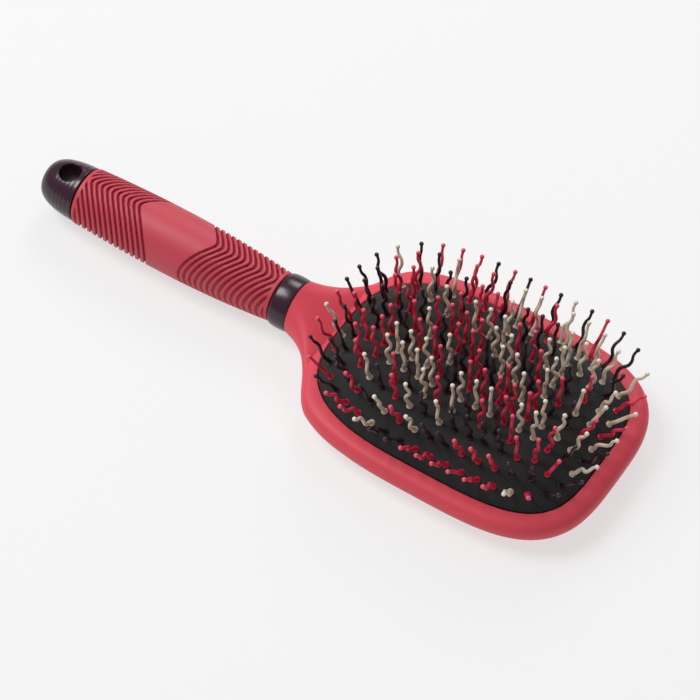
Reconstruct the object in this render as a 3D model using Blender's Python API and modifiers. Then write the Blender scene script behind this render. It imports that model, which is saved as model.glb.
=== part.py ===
"""A bristle brush for grooming: a paddle head with an air cushion and wavy pins, and a gripped handle.

Metres, +Z up, the handle along X. The brush lies on its back: the head's flat back is at z = 0, the pins
point up and the middle of its length is at x = 0."""

import math

import bmesh
import bpy
import numpy as np
from mathutils.geometry import delaunay_2d_cdt

# Lengths along the brush, from the butt of the cap to the far edge of the head.
LENGTH = 0.248
CAP_LENGTH = 0.0176
GRIP_LENGTH = 0.0872
RING_LENGTH = 0.008
BUTT_X = -LENGTH / 2
GRIP_X = BUTT_X + CAP_LENGTH
RING_X = GRIP_X + GRIP_LENGTH
NECK_X = RING_X + RING_LENGTH
HEAD_END_X = LENGTH / 2
JOINT_GAP = 0.0003

# Handle. Its axis lies at the height where the thickest part of the grip touches the table.
GRIP_RADIUS = 0.0124
AXIS_Z = GRIP_RADIUS
GRIP_THICKEST = 0.56
GRIP_RING_RADIUS = 0.0097
GRIP_CAP_RADIUS = 0.0112
CAP_RADIUS = 0.0109
RING_EDGE_RADIUS = 0.0099
RING_RADIUS = 0.0106
NECK_RADIUS = 0.0105
TANG_RADIUS = 0.0075
TANG_BORE = TANG_RADIUS + JOINT_GAP
TANG_IN_CAP = 0.0012
HANG_HOLE_RADIUS = 0.0042
HANG_HOLE_FROM_BUTT = 0.0108
HOLE_CUTTER_LENGTH = 4 * GRIP_RADIUS

# Head. The opening that holds the cushion is a rounded oblong, blunter at its far end.
HANDLE_RIM_WIDTH = 0.0092
RIM_WIDTH = 0.0067
END_RIM_WIDTH = 0.0072
OPENING_HALF_LENGTH = 0.0548
OPENING_HALF_WIDTH = 0.038
OPENING_X = HEAD_END_X - END_RIM_WIDTH - OPENING_HALF_LENGTH
HANDLE_END_EXPONENT = 3.0
FAR_END_EXPONENT = 3.8
LIP_Z = 0.0148
LIP_THICKNESS = 0.0016
GROOVE_HEIGHT = 0.0022
GROOVE_DEPTH = 0.0022
LEDGE_INSET = 0.0012
CHAMBER_FLOOR_Z = 0.0026
RIM_EQUATOR_Z = 0.0098
BACK_INSET = 0.012
ELLIPSE = 2
HEAD_SQUARENESS = 2.8
LIP_POINTS = 48
RIM_STATIONS = (0, LIP_POINTS // 6, LIP_POINTS // 2)
NECK_COLUMNS = 5
NECK_SPREAD = math.radians(17)
NECK_HANDLE = 0.019
RIM_HANDLE = 0.011
LAST_FLARE_X = 0.019
WIDENED_AT_LIP = 0.5
UPPER_STEPS = 5
LOWER_STEPS = 4

# Cushion: a rubber membrane that domes up out of the opening, its flange held in the groove under the lip.
DOME_HEIGHT = 0.0125
DOME_SHOULDER = 0.028
DOME_POWER = 2.8
DOME_EDGE_Z = LIP_Z - 0.0004
MEMBRANE_THICKNESS = 0.0015
MEMBRANE_CLEARANCE = 0.00035
FLANGE_DEPTH = GROOVE_DEPTH - MEMBRANE_CLEARANCE
MIDDLE_SHARE = 0.01

# Pins stand in three loops that follow the opening, and in straight rows inside the loops. A shaft is listed
# from its foot to its ball: the share of its length, half its width, and the side that it has bent to.
LOOP_INSETS = (0.0045, 0.0092, 0.015)
LOOP_COUNTS = (46, 40, 36)
LOOP_LEANS = (math.radians(37), math.radians(21), math.radians(9))
HANDLE_END_LEAN = 0.65
ROW_INSET = 0.0206
ROW_PITCH = 0.0057
ROWS_EACH_SIDE = 3
COLUMN_PITCH = 0.006
HALF_COLUMN = 0.5
NEAR_ROW = COLUMN_PITCH / 10
ROW_LEAN = math.radians(5)
PIN_LENGTH = 0.0178
PIN_WAVE = 0.0009
PIN_TURN = math.radians(137.5)
ROOT_HALF = 0.00085
HOLE_HALF = 0.0013
LOOP_SHAFT = ((0.0, 0.00085, 0), (0.45, 0.00065, 1), (0.92, 0.0005, 0), (0.97, 0.0009, 0))
ROW_SHAFT = ((0.32, 0.00075, 1), (0.62, 0.00065, -1), (0.92, 0.0005, 0), (0.97, 0.0009, 0))
KEEL_GAP = 0.0005
KEEL_DEPTH = 0.0014
LOOP_NAMES = ("Edge_Pins", "Shoulder_Pins", "Middle_Loop_Pins")
LOOP_GROUPS = (8, 8, 6)

# How finely the shapes are drawn.
CORNERS = 4
OUTLINE_SAMPLES = 1440
ROUND_SEGMENTS = 24
GRIP_STEPS = 10
RING_STEPS = 6
CAP_STEPS = 8
RING_FULLNESS = 0.7
CAP_FULLNESS = 0.52
SHARP_ANGLE = math.radians(35)
SMALLEST_DISTANCE = 1e-6
MERGE_DISTANCE = 1e-5
MM_PER_M = 1000

CORAL = (0.62, 0.09, 0.115, 1)
GRIP_RED = (0.5, 0.06, 0.08, 1)
PLUM = (0.035, 0.008, 0.018, 1)
CUSHION_BLACK = (0.018, 0.018, 0.019, 1)
GLOSSY = 0.2
NYLON_SHEEN = 0.35
SATIN = 0.5
RUBBERY = 0.6
CLOTHLIKE = 0.8
PIN_COLOURS = {
    "Pink": (0.62, 0.03, 0.075, 1),
    "Beige": (0.56, 0.47, 0.39, 1),
    "Black": (0.022, 0.014, 0.02, 1),
}


def clear_scene():
    for obj in list(bpy.data.objects):
        bpy.data.objects.remove(obj, do_unlink=True)


def new_collection(name, hidden=False):
    collection = bpy.data.collections.new(name)
    collection.hide_render = hidden
    bpy.context.scene.collection.children.link(collection)
    return collection


def new_material(name, colour, roughness):
    material = bpy.data.materials.new(name)
    material.use_nodes = True
    shader = material.node_tree.nodes["Principled BSDF"]
    shader.inputs["Base Color"].default_value = colour
    shader.inputs["Roughness"].default_value = roughness
    shader.inputs["Metallic"].default_value = 0.0
    material.diffuse_color = colour
    return material


def add_solid(name, vertices, faces, material, collection):
    """An object from raw vertices and faces, with doubled vertices joined and its faces turned outward."""
    mesh = bpy.data.meshes.new(name)
    mesh.from_pydata([tuple(vertex) for vertex in vertices], [], faces)
    shape = bmesh.new()
    shape.from_mesh(mesh)
    bmesh.ops.remove_doubles(shape, verts=shape.verts, dist=SMALLEST_DISTANCE)
    bmesh.ops.recalc_face_normals(shape, faces=shape.faces)
    shape.to_mesh(mesh)
    shape.free()
    mesh.materials.append(material)
    mesh.shade_smooth()
    mesh.set_sharp_from_angle(angle=SHARP_ANGLE)
    obj = bpy.data.objects.new(name, mesh)
    collection.objects.link(obj)
    return obj


def band_faces(first, second, count, closed=True):
    """Quads that join two loops of vertices, given the index of each loop's first vertex."""
    faces = []
    for i in range(count if closed else count - 1):
        after = (i + 1) % count
        faces.append((first + i, first + after, second + after, second + i))
    return faces


def turned_solid(name, profile, closed, material, collection):
    """A solid turned about the handle's axis from (x, radius) points, closed or from axis to axis."""
    mesh = bpy.data.meshes.new(name)
    shape = bmesh.new()
    points = [shape.verts.new((x, radius, 0.0)) for x, radius in profile]
    for here, after in zip(points, points[1:] + points[:1] if closed else points[1:]):
        shape.edges.new((here, after))
    shape.to_mesh(mesh)
    shape.free()
    mesh.materials.append(material)
    obj = bpy.data.objects.new(name, mesh)
    obj.location = (0.0, 0.0, AXIS_Z)
    collection.objects.link(obj)
    turn = obj.modifiers.new("Turn", "SCREW")
    turn.axis = "X"
    turn.steps = turn.render_steps = ROUND_SEGMENTS
    turn.use_smooth_shade = True
    turn.use_normal_calculate = True
    turn.use_merge_vertices = True
    turn.merge_threshold = MERGE_DISTANCE
    return obj


def edge_exponent(x):
    return FAR_END_EXPONENT if x > 0 else HANDLE_END_EXPONENT


def opening_loop(count, inset):
    """count points evenly round the opening's edge moved in by inset, and the outward directions there.

    The first is at the handle end. The loop runs by the +Y side to the far end and back by the -Y side."""
    points = []
    normals = []
    for angle in np.linspace(math.pi, -math.pi, OUTLINE_SAMPLES + 1):
        across, up = math.cos(angle), math.sin(angle)
        power = edge_exponent(across)
        x = math.copysign(abs(across) ** (2 / power), across)
        y = math.copysign(abs(up) ** (2 / power), up)
        slope_x = math.copysign(abs(x) ** (power - 1), x) / OPENING_HALF_LENGTH
        slope_y = math.copysign(abs(y) ** (power - 1), y) / OPENING_HALF_WIDTH
        normal = np.array((slope_x, slope_y)) / math.hypot(slope_x, slope_y)
        edge = np.array((OPENING_X + OPENING_HALF_LENGTH * x, OPENING_HALF_WIDTH * y))
        points.append(edge - inset * normal)
        normals.append(normal)
    points = np.array(points)
    normals = np.array(normals)
    steps = np.linalg.norm(np.diff(points, axis=0), axis=1)
    along = np.concatenate([[0], np.cumsum(steps)])
    wanted = along[-1] * np.arange(count) / count
    spaced = np.stack([np.interp(wanted, along, points[:, i]) for i in range(2)], axis=1)
    outward = np.stack([np.interp(wanted, along, normals[:, i]) for i in range(2)], axis=1)
    return spaced, outward / np.linalg.norm(outward, axis=1, keepdims=True)


def distance_inside(x, y):
    """How far a point of the cushion is from the opening's edge, measured away from the cushion's middle."""
    across = abs(x - OPENING_X) / OPENING_HALF_LENGTH
    up = abs(y) / OPENING_HALF_WIDTH
    power = edge_exponent(x - OPENING_X)
    share = max((across**power + up**power) ** (1 / power), SMALLEST_DISTANCE)
    return math.hypot(x - OPENING_X, y) * (1 / share - 1) if share > MIDDLE_SHARE else DOME_SHOULDER


def dome_top(x, y):
    left = max(1 - distance_inside(x, y) / DOME_SHOULDER, 0)
    return DOME_EDGE_Z + DOME_HEIGHT * (1 - left**DOME_POWER)


def dome_underside(x, y):
    left = max(1 - distance_inside(x, y) / DOME_SHOULDER, 0)
    slope = DOME_HEIGHT * DOME_POWER / DOME_SHOULDER * left ** (DOME_POWER - 1)
    return dome_top(x, y) - MEMBRANE_THICKNESS * math.hypot(1, slope)


def ease(share):
    return share * share * (3 - 2 * share)


def flare_point(share, start, end, end_direction):
    """A point on the smooth curve that widens the neck into the head."""
    controls = (
        start,
        start + NECK_HANDLE * np.array((math.cos(NECK_SPREAD), math.sin(NECK_SPREAD))),
        end - RIM_HANDLE * end_direction,
        end,
    )
    weights = ((1 - share) ** 3, 3 * share * (1 - share) ** 2, 3 * share**2 * (1 - share), share**3)
    return sum(weight * control for weight, control in zip(weights, controls))


def frame_columns():
    """The columns that the frame's skin is stretched over, from the neck round one side to the far end.

    Each is (outer edge, upper end, lower end, heights of the three, squareness of the section)."""
    half = LIP_POINTS // 2 + 1
    lip, outward = opening_loop(LIP_POINTS, 0.0)
    widths = np.interp(range(half), RIM_STATIONS, (HANDLE_RIM_WIDTH, RIM_WIDTH, END_RIM_WIDTH))
    rim = [lip[i] + widths[i] * outward[i] for i in range(half)]
    last_flare = int(np.argmax(lip[:, 0] > LAST_FLARE_X))
    flare_end = np.array((outward[last_flare][1], -outward[last_flare][0]))
    neck_edge = np.array((NECK_X, NECK_RADIUS))
    neck_middle = np.array((NECK_X, 0.0))
    columns = []
    for i in range(NECK_COLUMNS + half):
        station = max(i - NECK_COLUMNS, 0)
        reached = min(i / NECK_COLUMNS, 1)
        settled = ease(reached)
        widened = np.interp(i, (0, NECK_COLUMNS, NECK_COLUMNS + last_flare), (0, WIDENED_AT_LIP, 1))
        edge = flare_point(widened, neck_edge, rim[last_flare], flare_end) if widened < 1 else rim[station]
        back_edge = lip[station] - BACK_INSET * outward[station]
        upper = neck_middle + reached * (lip[station] - neck_middle)
        lower = neck_middle + reached * (back_edge - neck_middle)
        top = AXIS_Z + NECK_RADIUS + reached * (LIP_Z - AXIS_Z - NECK_RADIUS)
        middle = AXIS_Z + ease(widened) * (RIM_EQUATOR_Z - AXIS_Z)
        bottom = (AXIS_Z - NECK_RADIUS) * (1 - settled)
        squareness = ELLIPSE + settled * (HEAD_SQUARENESS - ELLIPSE)
        columns.append((edge, upper, lower, top, middle, bottom, squareness))
    return columns


def column_points(column, side):
    """One column's vertices, from its lower end up round the outer edge to its upper end."""
    edge, upper, lower, top, middle, bottom, squareness = column
    points = []
    for step in range(-LOWER_STEPS, UPPER_STEPS + 1):
        steps = LOWER_STEPS if step < 0 else UPPER_STEPS
        angle = abs(step) / steps * math.pi / 2
        power = 1 if step < 0 else ELLIPSE / squareness
        inward = 1 - max(math.cos(angle), 0) ** power if abs(step) < steps else 1
        rise = math.sin(angle) ** power
        target, height = (lower, bottom) if step < 0 else (upper, top)
        place = edge + (target - edge) * inward
        points.append((place[0], side * place[1], middle + (height - middle) * rise))
    return points


def head_frame(material, collection):
    """The head, the neck and the tang inside the handle, moulded in one, with the pocket for the cushion."""
    columns = frame_columns()
    levels = UPPER_STEPS + LOWER_STEPS + 1
    loop = [(column, 1) for column in columns] + [(column, -1) for column in reversed(columns[:-1])]
    vertices = [point for column, side in loop for point in column_points(column, side)]
    faces = []
    for i in range(len(loop) - 1):
        for level in range(levels - 1):
            low = i * levels + level
            faces.append((low, low + levels, low + levels + 1, low + 1))
    head_loop = range(NECK_COLUMNS, len(loop) - NECK_COLUMNS - 1)
    faces.append(tuple(i * levels for i in head_loop))

    pocket = (
        (0.0, LIP_Z),
        (0.0, LIP_Z - LIP_THICKNESS),
        (-GROOVE_DEPTH, LIP_Z - LIP_THICKNESS),
        (-GROOVE_DEPTH, LIP_Z - LIP_THICKNESS - GROOVE_HEIGHT),
        (LEDGE_INSET, LIP_Z - LIP_THICKNESS - GROOVE_HEIGHT),
        (LEDGE_INSET, CHAMBER_FLOOR_Z),
    )
    first = len(vertices)
    for inset, height in pocket:
        vertices += [(x, y, height) for x, y in opening_loop(LIP_POINTS, inset)[0]]
    for i in range(len(pocket) - 1):
        faces += band_faces(first + i * LIP_POINTS, first + (i + 1) * LIP_POINTS, LIP_POINTS)
    floor = first + (len(pocket) - 1) * LIP_POINTS
    faces.append(tuple(range(floor, floor + LIP_POINTS)))

    neck = column_points(columns[0], 1) + column_points(columns[0], -1)[-2:0:-1]
    tang_end_x = GRIP_X - TANG_IN_CAP + JOINT_GAP
    first = len(vertices)
    vertices += neck
    for x in (NECK_X, tang_end_x):
        shrink = TANG_RADIUS / NECK_RADIUS
        vertices += [(x, y * shrink, AXIS_Z + (z - AXIS_Z) * shrink) for _, y, z in neck]
    for i in range(2):
        faces += band_faces(first + i * len(neck), first + (i + 1) * len(neck), len(neck))
    faces.append(tuple(range(first + 2 * len(neck), first + 3 * len(neck))))
    return add_solid("Head_Frame", vertices, faces, material, collection)


def grip_radius(share):
    """The grip's radius, from 0 at the ring to 1 at the cap."""
    if share < GRIP_THICKEST:
        fall = (GRIP_RADIUS - GRIP_RING_RADIUS) * ((share - GRIP_THICKEST) / GRIP_THICKEST) ** 2
    else:
        fall = (GRIP_RADIUS - GRIP_CAP_RADIUS) * ((share - GRIP_THICKEST) / (1 - GRIP_THICKEST)) ** 2
    return GRIP_RADIUS - fall


def grip_sleeve(material, collection):
    near, far = RING_X - JOINT_GAP, GRIP_X + JOINT_GAP
    shares = [i / GRIP_STEPS for i in range(GRIP_STEPS + 1)]
    profile = [(near + (far - near) * share, grip_radius(share)) for share in shares]
    profile += [(far, TANG_BORE), (near, TANG_BORE)]
    return turned_solid("Grip_Sleeve", profile, True, material, collection)


def collar_ring(material, collection):
    near, far = RING_X + JOINT_GAP, NECK_X - JOINT_GAP
    profile = []
    for i in range(RING_STEPS + 1):
        angle = math.pi * i / RING_STEPS
        bulge = (RING_RADIUS - RING_EDGE_RADIUS) * math.sin(angle) ** RING_FULLNESS
        profile.append((near + (far - near) * (1 - math.cos(angle)) / 2, RING_EDGE_RADIUS + bulge))
    profile += [(far, TANG_BORE), (near, TANG_BORE)]
    return turned_solid("Collar_Ring", profile, True, material, collection)


def end_cap(material, collection, cutters):
    """The rounded cap on the butt of the handle, with a hole through it to hang the brush by."""
    mouth = GRIP_X - JOINT_GAP
    seat = GRIP_X - TANG_IN_CAP - JOINT_GAP
    profile = [(seat, 0.0), (seat, TANG_BORE), (mouth, TANG_BORE)]
    for i in range(CAP_STEPS + 1):
        angle = math.pi / 2 * i / CAP_STEPS
        radius = CAP_RADIUS * max(math.cos(angle), 0) ** CAP_FULLNESS
        profile.append((mouth + (BUTT_X - mouth) * math.sin(angle), radius))
    cap = turned_solid("End_Cap", profile, False, material, collection)
    bpy.ops.mesh.primitive_cylinder_add(
        vertices=ROUND_SEGMENTS,
        radius=HANG_HOLE_RADIUS,
        depth=HOLE_CUTTER_LENGTH,
        location=(BUTT_X + HANG_HOLE_FROM_BUTT, 0, AXIS_Z),
    )
    cutter = bpy.context.object
    cutter.name = "Hang_Hole_Cutter"
    for old in list(cutter.users_collection):
        old.objects.unlink(cutter)
    cutters.objects.link(cutter)
    cutter.hide_render = True
    cutter.display_type = "WIRE"
    cut = cap.modifiers.new("Hang_Hole", "BOOLEAN")
    cut.operation = "DIFFERENCE"
    cut.solver = "EXACT"
    cut.object = cutter
    return cap


def square_corners(place, along, half):
    """The corners of a square in plan, turned so that two of its sides run along a direction."""
    side = np.array((-along[1], along[0]))
    signs = ((-1, -1), (1, -1), (1, 1), (-1, 1))
    return [place + half * (forward * along + sideways * side) for forward, sideways in signs]


def loop_pins(inset, count, lean):
    """The pins of one loop: (place, direction along the loop, outward direction, lean)."""
    places, outward = opening_loop(count, inset)
    pins = []
    for place, out in zip(places, outward):
        near_handle = max(-out[0], 0)
        angle = lean * (1 - (1 - HANDLE_END_LEAN) * near_handle)
        pins.append((place, np.array((out[1], -out[0])), out, angle))
    return pins


def row_pins(row):
    """The pins of one straight row inside the loops, as loop_pins gives them."""
    y = row * ROW_PITCH
    inner = opening_loop(OUTLINE_SAMPLES, ROW_INSET)[0]
    near_row = inner[np.abs(inner[:, 1] - y) < NEAR_ROW]
    first = math.ceil((near_row[:, 0].min() - OPENING_X) / COLUMN_PITCH - HALF_COLUMN)
    last = math.floor((near_row[:, 0].max() - OPENING_X) / COLUMN_PITCH - HALF_COLUMN)
    pins = []
    for column in range(first, last + 1):
        place = np.array((OPENING_X + (column + HALF_COLUMN) * COLUMN_PITCH, y))
        away = place - np.array((OPENING_X, 0.0))
        reach = np.linalg.norm(away) / OPENING_HALF_LENGTH
        out = away / max(np.linalg.norm(away), SMALLEST_DISTANCE)
        pins.append((place, np.array((1.0, 0.0)), out, ROW_LEAN * reach))
    return pins


def pin_group(name, pins, shaft, turn, material, collection):
    """Pins that stand in a line, joined under the membrane by the keel that stands in for their heads."""
    vertices = []
    faces = []
    for index, (place, along, out, lean) in enumerate(pins):
        surface = dome_top(*place)
        first = len(vertices)
        vertices.append((place[0], place[1], dome_underside(*place) - KEEL_GAP - KEEL_DEPTH))
        roots = square_corners(place, along, ROOT_HALF)
        vertices += [(x, y, dome_underside(x, y) - KEEL_GAP) for x, y in roots]
        direction = np.array((out[0] * math.sin(lean), out[1] * math.sin(lean), math.cos(lean)))
        swing = (turn + index) * PIN_TURN
        for share, half, bend in shaft:
            centre = np.array((place[0], place[1], surface)) + share * PIN_LENGTH * direction
            plan = centre[:2] + bend * PIN_WAVE * np.array((math.cos(swing), math.sin(swing)))
            vertices += [(x, y, centre[2]) for x, y in square_corners(plan, along, half)]
        rings = [first + 1 + CORNERS * i for i in range(len(shaft) + 1)]
        for lower, upper in zip(rings, rings[1:]):
            faces += band_faces(lower, upper, CORNERS)
        faces.append(tuple(range(rings[-1], rings[-1] + CORNERS)))
        size = 1 + CORNERS * (len(shaft) + 1)
        faces.append((first, first + 2, first + 1))
        faces.append((first, first + 4, first + 3))
        if index:
            before = first - size
            faces.append((before + 2, first + 1, first + 4, before + 3))
            faces.append((before, before + 2, first + 1, first))
            faces.append((before, before + 3, first + 4, first))
    last = len(vertices) - size
    faces.append((0, 1, 4))
    faces.append((last, last + 2, last + 3))
    return add_solid(name, vertices, faces, material, collection)


def split(pins, groups):
    """The pins in a number of groups of nearly equal size, in order."""
    bounds = [round(i * len(pins) / groups) for i in range(groups + 1)]
    return [pins[start:end] for start, end in zip(bounds, bounds[1:])]


def all_pins(materials, collection):
    """Every pin node. It returns the pins, for the holes in the membrane."""
    colours = list(materials)
    loops = [loop_pins(*values) for values in zip(LOOP_INSETS, LOOP_COUNTS, LOOP_LEANS)]
    groups = []
    for name, pins, count in zip(LOOP_NAMES, loops, LOOP_GROUPS):
        for number, part in enumerate(split(pins, count), 1):
            groups.append((f"{name}_{number}", part, LOOP_SHAFT))
    for row in range(-ROWS_EACH_SIDE, ROWS_EACH_SIDE + 1):
        for side, part in zip(("Handle_Side", "Far_Side"), split(row_pins(row), 2)):
            groups.append((f"Middle_Row_{row + ROWS_EACH_SIDE + 1}_{side}", part, ROW_SHAFT))
    for number, (name, pins, shaft) in enumerate(groups):
        material = materials[colours[number % len(colours)]]
        pin_group(name, pins, shaft, number, material, collection)
    return [pin for _, pins, _ in groups for pin in pins]


def in_a_hole(x, y, pins):
    for place, along, _, _ in pins:
        forward = (x - place[0]) * along[0] + (y - place[1]) * along[1]
        sideways = (y - place[1]) * along[0] - (x - place[0]) * along[1]
        if max(abs(forward), abs(sideways)) < HOLE_HALF:
            return True
    return False


def cushion_membrane(pins, material, collection):
    """The domed rubber cushion, with a hole for each pin and a flange in the frame's groove."""
    edge = opening_loop(LIP_POINTS, MEMBRANE_CLEARANCE)[0]
    plan = [tuple(point) for point in edge]
    sides = [(i, (i + 1) % LIP_POINTS) for i in range(LIP_POINTS)]
    for place, along, _, _ in pins:
        first = len(plan)
        plan += [tuple(corner) for corner in square_corners(place, along, HOLE_HALF)]
        sides += [(first + i, first + (i + 1) % CORNERS) for i in range(CORNERS)]
    plan_in_mm = [(x * MM_PER_M, y * MM_PER_M) for x, y in plan]
    found, _, triangles, _, _, _ = delaunay_2d_cdt(plan_in_mm, sides, [], 1, SMALLEST_DISTANCE, False)
    points = [(point[0] / MM_PER_M, point[1] / MM_PER_M) for point in found]
    kept = []
    for triangle in triangles:
        x, y = np.mean([points[i] for i in triangle], axis=0)
        if not in_a_hole(x, y, pins):
            kept.append(tuple(triangle))

    inner = opening_loop(LIP_POINTS, MEMBRANE_CLEARANCE + MEMBRANE_THICKNESS)[0]
    vertices = [(x, y, dome_top(x, y)) for x, y in points]
    below = len(vertices)
    for i, (x, y) in enumerate(points):
        if i < LIP_POINTS:
            x, y = inner[i]
        vertices.append((x, y, dome_underside(x, y)))
    faces = kept + [tuple(below + i for i in reversed(triangle)) for triangle in kept]
    for i in range(LIP_POINTS, len(points), CORNERS):
        hole = [(i + step, i + (step + 1) % CORNERS) for step in range(CORNERS)]
        faces += [(a, b, below + b, below + a) for a, b in hole]

    flange_top = LIP_Z - LIP_THICKNESS - MEMBRANE_CLEARANCE
    flange_bottom = LIP_Z - LIP_THICKNESS - GROOVE_HEIGHT + MEMBRANE_CLEARANCE
    bands = (
        (MEMBRANE_CLEARANCE, flange_top),
        (-FLANGE_DEPTH, flange_top),
        (-FLANGE_DEPTH, flange_bottom),
        (MEMBRANE_CLEARANCE + MEMBRANE_THICKNESS, flange_bottom),
    )
    before = 0
    for inset, height in bands:
        first = len(vertices)
        vertices += [(x, y, height) for x, y in opening_loop(LIP_POINTS, inset)[0]]
        faces += band_faces(before, first, LIP_POINTS)
        before = first
    faces += band_faces(before, below, LIP_POINTS)
    return add_solid("Cushion_Membrane", vertices, faces, material, collection)


def main():
    clear_scene()
    brush = new_collection("Bristle_Brush")
    cutters = new_collection("Cutters", hidden=True)
    plum = new_material("Plum_Plastic", PLUM, GLOSSY)
    nylons = {}
    for name, colour in PIN_COLOURS.items():
        nylons[name] = new_material(f"{name}_Nylon", colour, NYLON_SHEEN)
    head_frame(new_material("Coral_Plastic", CORAL, SATIN), brush)
    grip_sleeve(new_material("Grip_Rubber", GRIP_RED, RUBBERY), brush)
    collar_ring(plum, brush)
    end_cap(plum, brush, cutters)
    pins = all_pins(nylons, brush)
    cushion_membrane(pins, new_material("Cushion_Rubber", CUSHION_BLACK, CLOTHLIKE), brush)


main()
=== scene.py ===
"""The looks of the bristle brush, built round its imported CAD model.

Metres, in the CAD's own frame: the brush lies on its back along X, its pins point up, and the table is
at z = 0."""

import math

import bmesh
import bpy
import numpy as np
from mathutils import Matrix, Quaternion, Vector


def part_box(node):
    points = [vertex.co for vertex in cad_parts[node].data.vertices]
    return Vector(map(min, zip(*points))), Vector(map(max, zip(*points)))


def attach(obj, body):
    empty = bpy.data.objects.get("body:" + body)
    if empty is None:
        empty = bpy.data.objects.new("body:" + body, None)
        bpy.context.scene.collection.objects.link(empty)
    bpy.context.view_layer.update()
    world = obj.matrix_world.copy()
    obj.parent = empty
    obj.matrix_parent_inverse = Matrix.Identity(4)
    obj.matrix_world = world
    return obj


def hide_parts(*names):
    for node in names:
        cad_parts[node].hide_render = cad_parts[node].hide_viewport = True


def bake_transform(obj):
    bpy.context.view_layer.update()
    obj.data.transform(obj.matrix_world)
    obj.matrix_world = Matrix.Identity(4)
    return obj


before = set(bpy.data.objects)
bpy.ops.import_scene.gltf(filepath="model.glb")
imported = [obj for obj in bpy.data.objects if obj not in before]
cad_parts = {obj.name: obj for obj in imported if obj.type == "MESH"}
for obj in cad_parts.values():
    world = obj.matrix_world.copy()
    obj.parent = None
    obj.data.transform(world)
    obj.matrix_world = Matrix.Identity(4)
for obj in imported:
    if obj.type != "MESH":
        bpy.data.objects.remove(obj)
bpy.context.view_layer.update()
cap_low, cap_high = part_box("End_Cap")
grip_low, grip_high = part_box("Grip_Sleeve")
ring_low, ring_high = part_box("Collar_Ring")
head_low, head_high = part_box("Head_Frame")
cushion_low, cushion_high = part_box("Cushion_Membrane")

# Handle.
JOINT_GAP = 0.0003
AXIS_Z = (cap_low.z + cap_high.z) / 2
NECK_X = ring_high.x + JOINT_GAP
NECK_RADIUS = 0.0105
TANG_RADIUS = 0.0075
TANG_BORE = TANG_RADIUS + JOINT_GAP
TANG_END_X = head_low.x
RING_RADIUS = ring_high.y
RING_EDGE_RADIUS = 0.0099
RING_FULLNESS = 0.7
GRIP_RADIUS = grip_high.y
GRIP_THICKEST = 0.56
GRIP_RING_RADIUS = 0.0097
GRIP_CAP_RADIUS = 0.0112
GRIP_EDGE_ROUND = 0.0004
CAP_RADIUS = cap_high.y
CAP_MOUTH_X = grip_low.x - 2 * JOINT_GAP
CAP_EDGE_ROUND = 0.0004
CAP_POWER = 0.26
CAP_GROOVE_PITCH = 0.0019
CAP_GROOVE_DEPTH = 0.00008
CAP_GROOVE_WIDTH = 0.0003
CAP_GROOVES = 5
HOLE_RADIUS = 0.0042
HOLE_FROM_BUTT = 0.0108
HOLE_X = cap_low.x + HOLE_FROM_BUTT
HOLE_ROUND = 0.0008

# Ribs of the grip: chevrons either side of a plain window.
RIB_PITCH = 0.0024
RIB_DEPTH = 0.0009
GROOVE_START = 0.05
GROOVE_STEEPNESS = 1.5
GROOVE_PHASE = math.asin(-GROOVE_START)
# The depth of the grooves, kept on the grip's points. It is used only for the painted shade in the grooves.
GROOVE_SHADE_ATTRIBUTE = "Groove_Shade"
CHEVRON_SLOPE = 0.88
CHEVRON_ROUND = 0.0016
WINDOW_FROM_RING = 0.0285
WINDOW_LENGTH = 0.0328
WINDOW_RING_X = grip_high.x - WINDOW_FROM_RING
WINDOW_CAP_X = WINDOW_RING_X - WINDOW_LENGTH
GRIP_BAND = 0.0014
BAND_EDGE = 0.0005

# Head and its opening.
FLANGE_DEPTH = 0.00185
GROOVE_DEPTH = 0.0022
GROOVE_HEIGHT = 0.0022
LEDGE_INSET = 0.0012
OPENING_X = (cushion_low.x + cushion_high.x) / 2
OPENING_HALF_LENGTH = (cushion_high.x - cushion_low.x) / 2 - FLANGE_DEPTH
OPENING_HALF_WIDTH = (cushion_high.y - cushion_low.y) / 2 - FLANGE_DEPTH
HANDLE_END_EXPONENT = 3.0
FAR_END_EXPONENT = 3.8

# The rim narrows from the handle end to its width at the sides in the first share of the way round, and then
# widens to the far end.
HANDLE_RIM_WIDTH = 0.0092
RIM_WIDTH = 0.0067
END_RIM_WIDTH = head_high.x - OPENING_X - OPENING_HALF_LENGTH
RIM_SETTLED = 1 / 6

# The heights of the head, and how the neck widens into it.
LIP_Z = 0.0148
LIP_THICKNESS = 0.0016
LIP_ROUND = 0.0006
CHAMBER_FLOOR_Z = 0.0026
RIM_EQUATOR_Z = 0.0098
BACK_INSET = 0.012
ELLIPSE = 2
HEAD_SQUARENESS = 2.8
NECK_SPREAD = math.radians(17)
NECK_HANDLE = 0.019
RIM_HANDLE = 0.011
LAST_FLARE_X = 0.019
WIDENED_AT_LIP = 0.5

# Cushion.
DOME_HEIGHT = 0.0125
DOME_SHOULDER = 0.028
DOME_POWER = 2.8
DOME_EDGE_Z = LIP_Z - 0.0004
CUSHION_CLEARANCE = 0.00035
CUSHION_THICKNESS = 0.0015
DIMPLE_DEPTH = 0.0002
DIMPLE_RADIUS = 0.0016
FLAT_MIDDLE = 0.01
THREAD_PITCH = 0.00057
THREAD_ANGLE = math.radians(33)
THREAD_WANDER = 0.4

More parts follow.
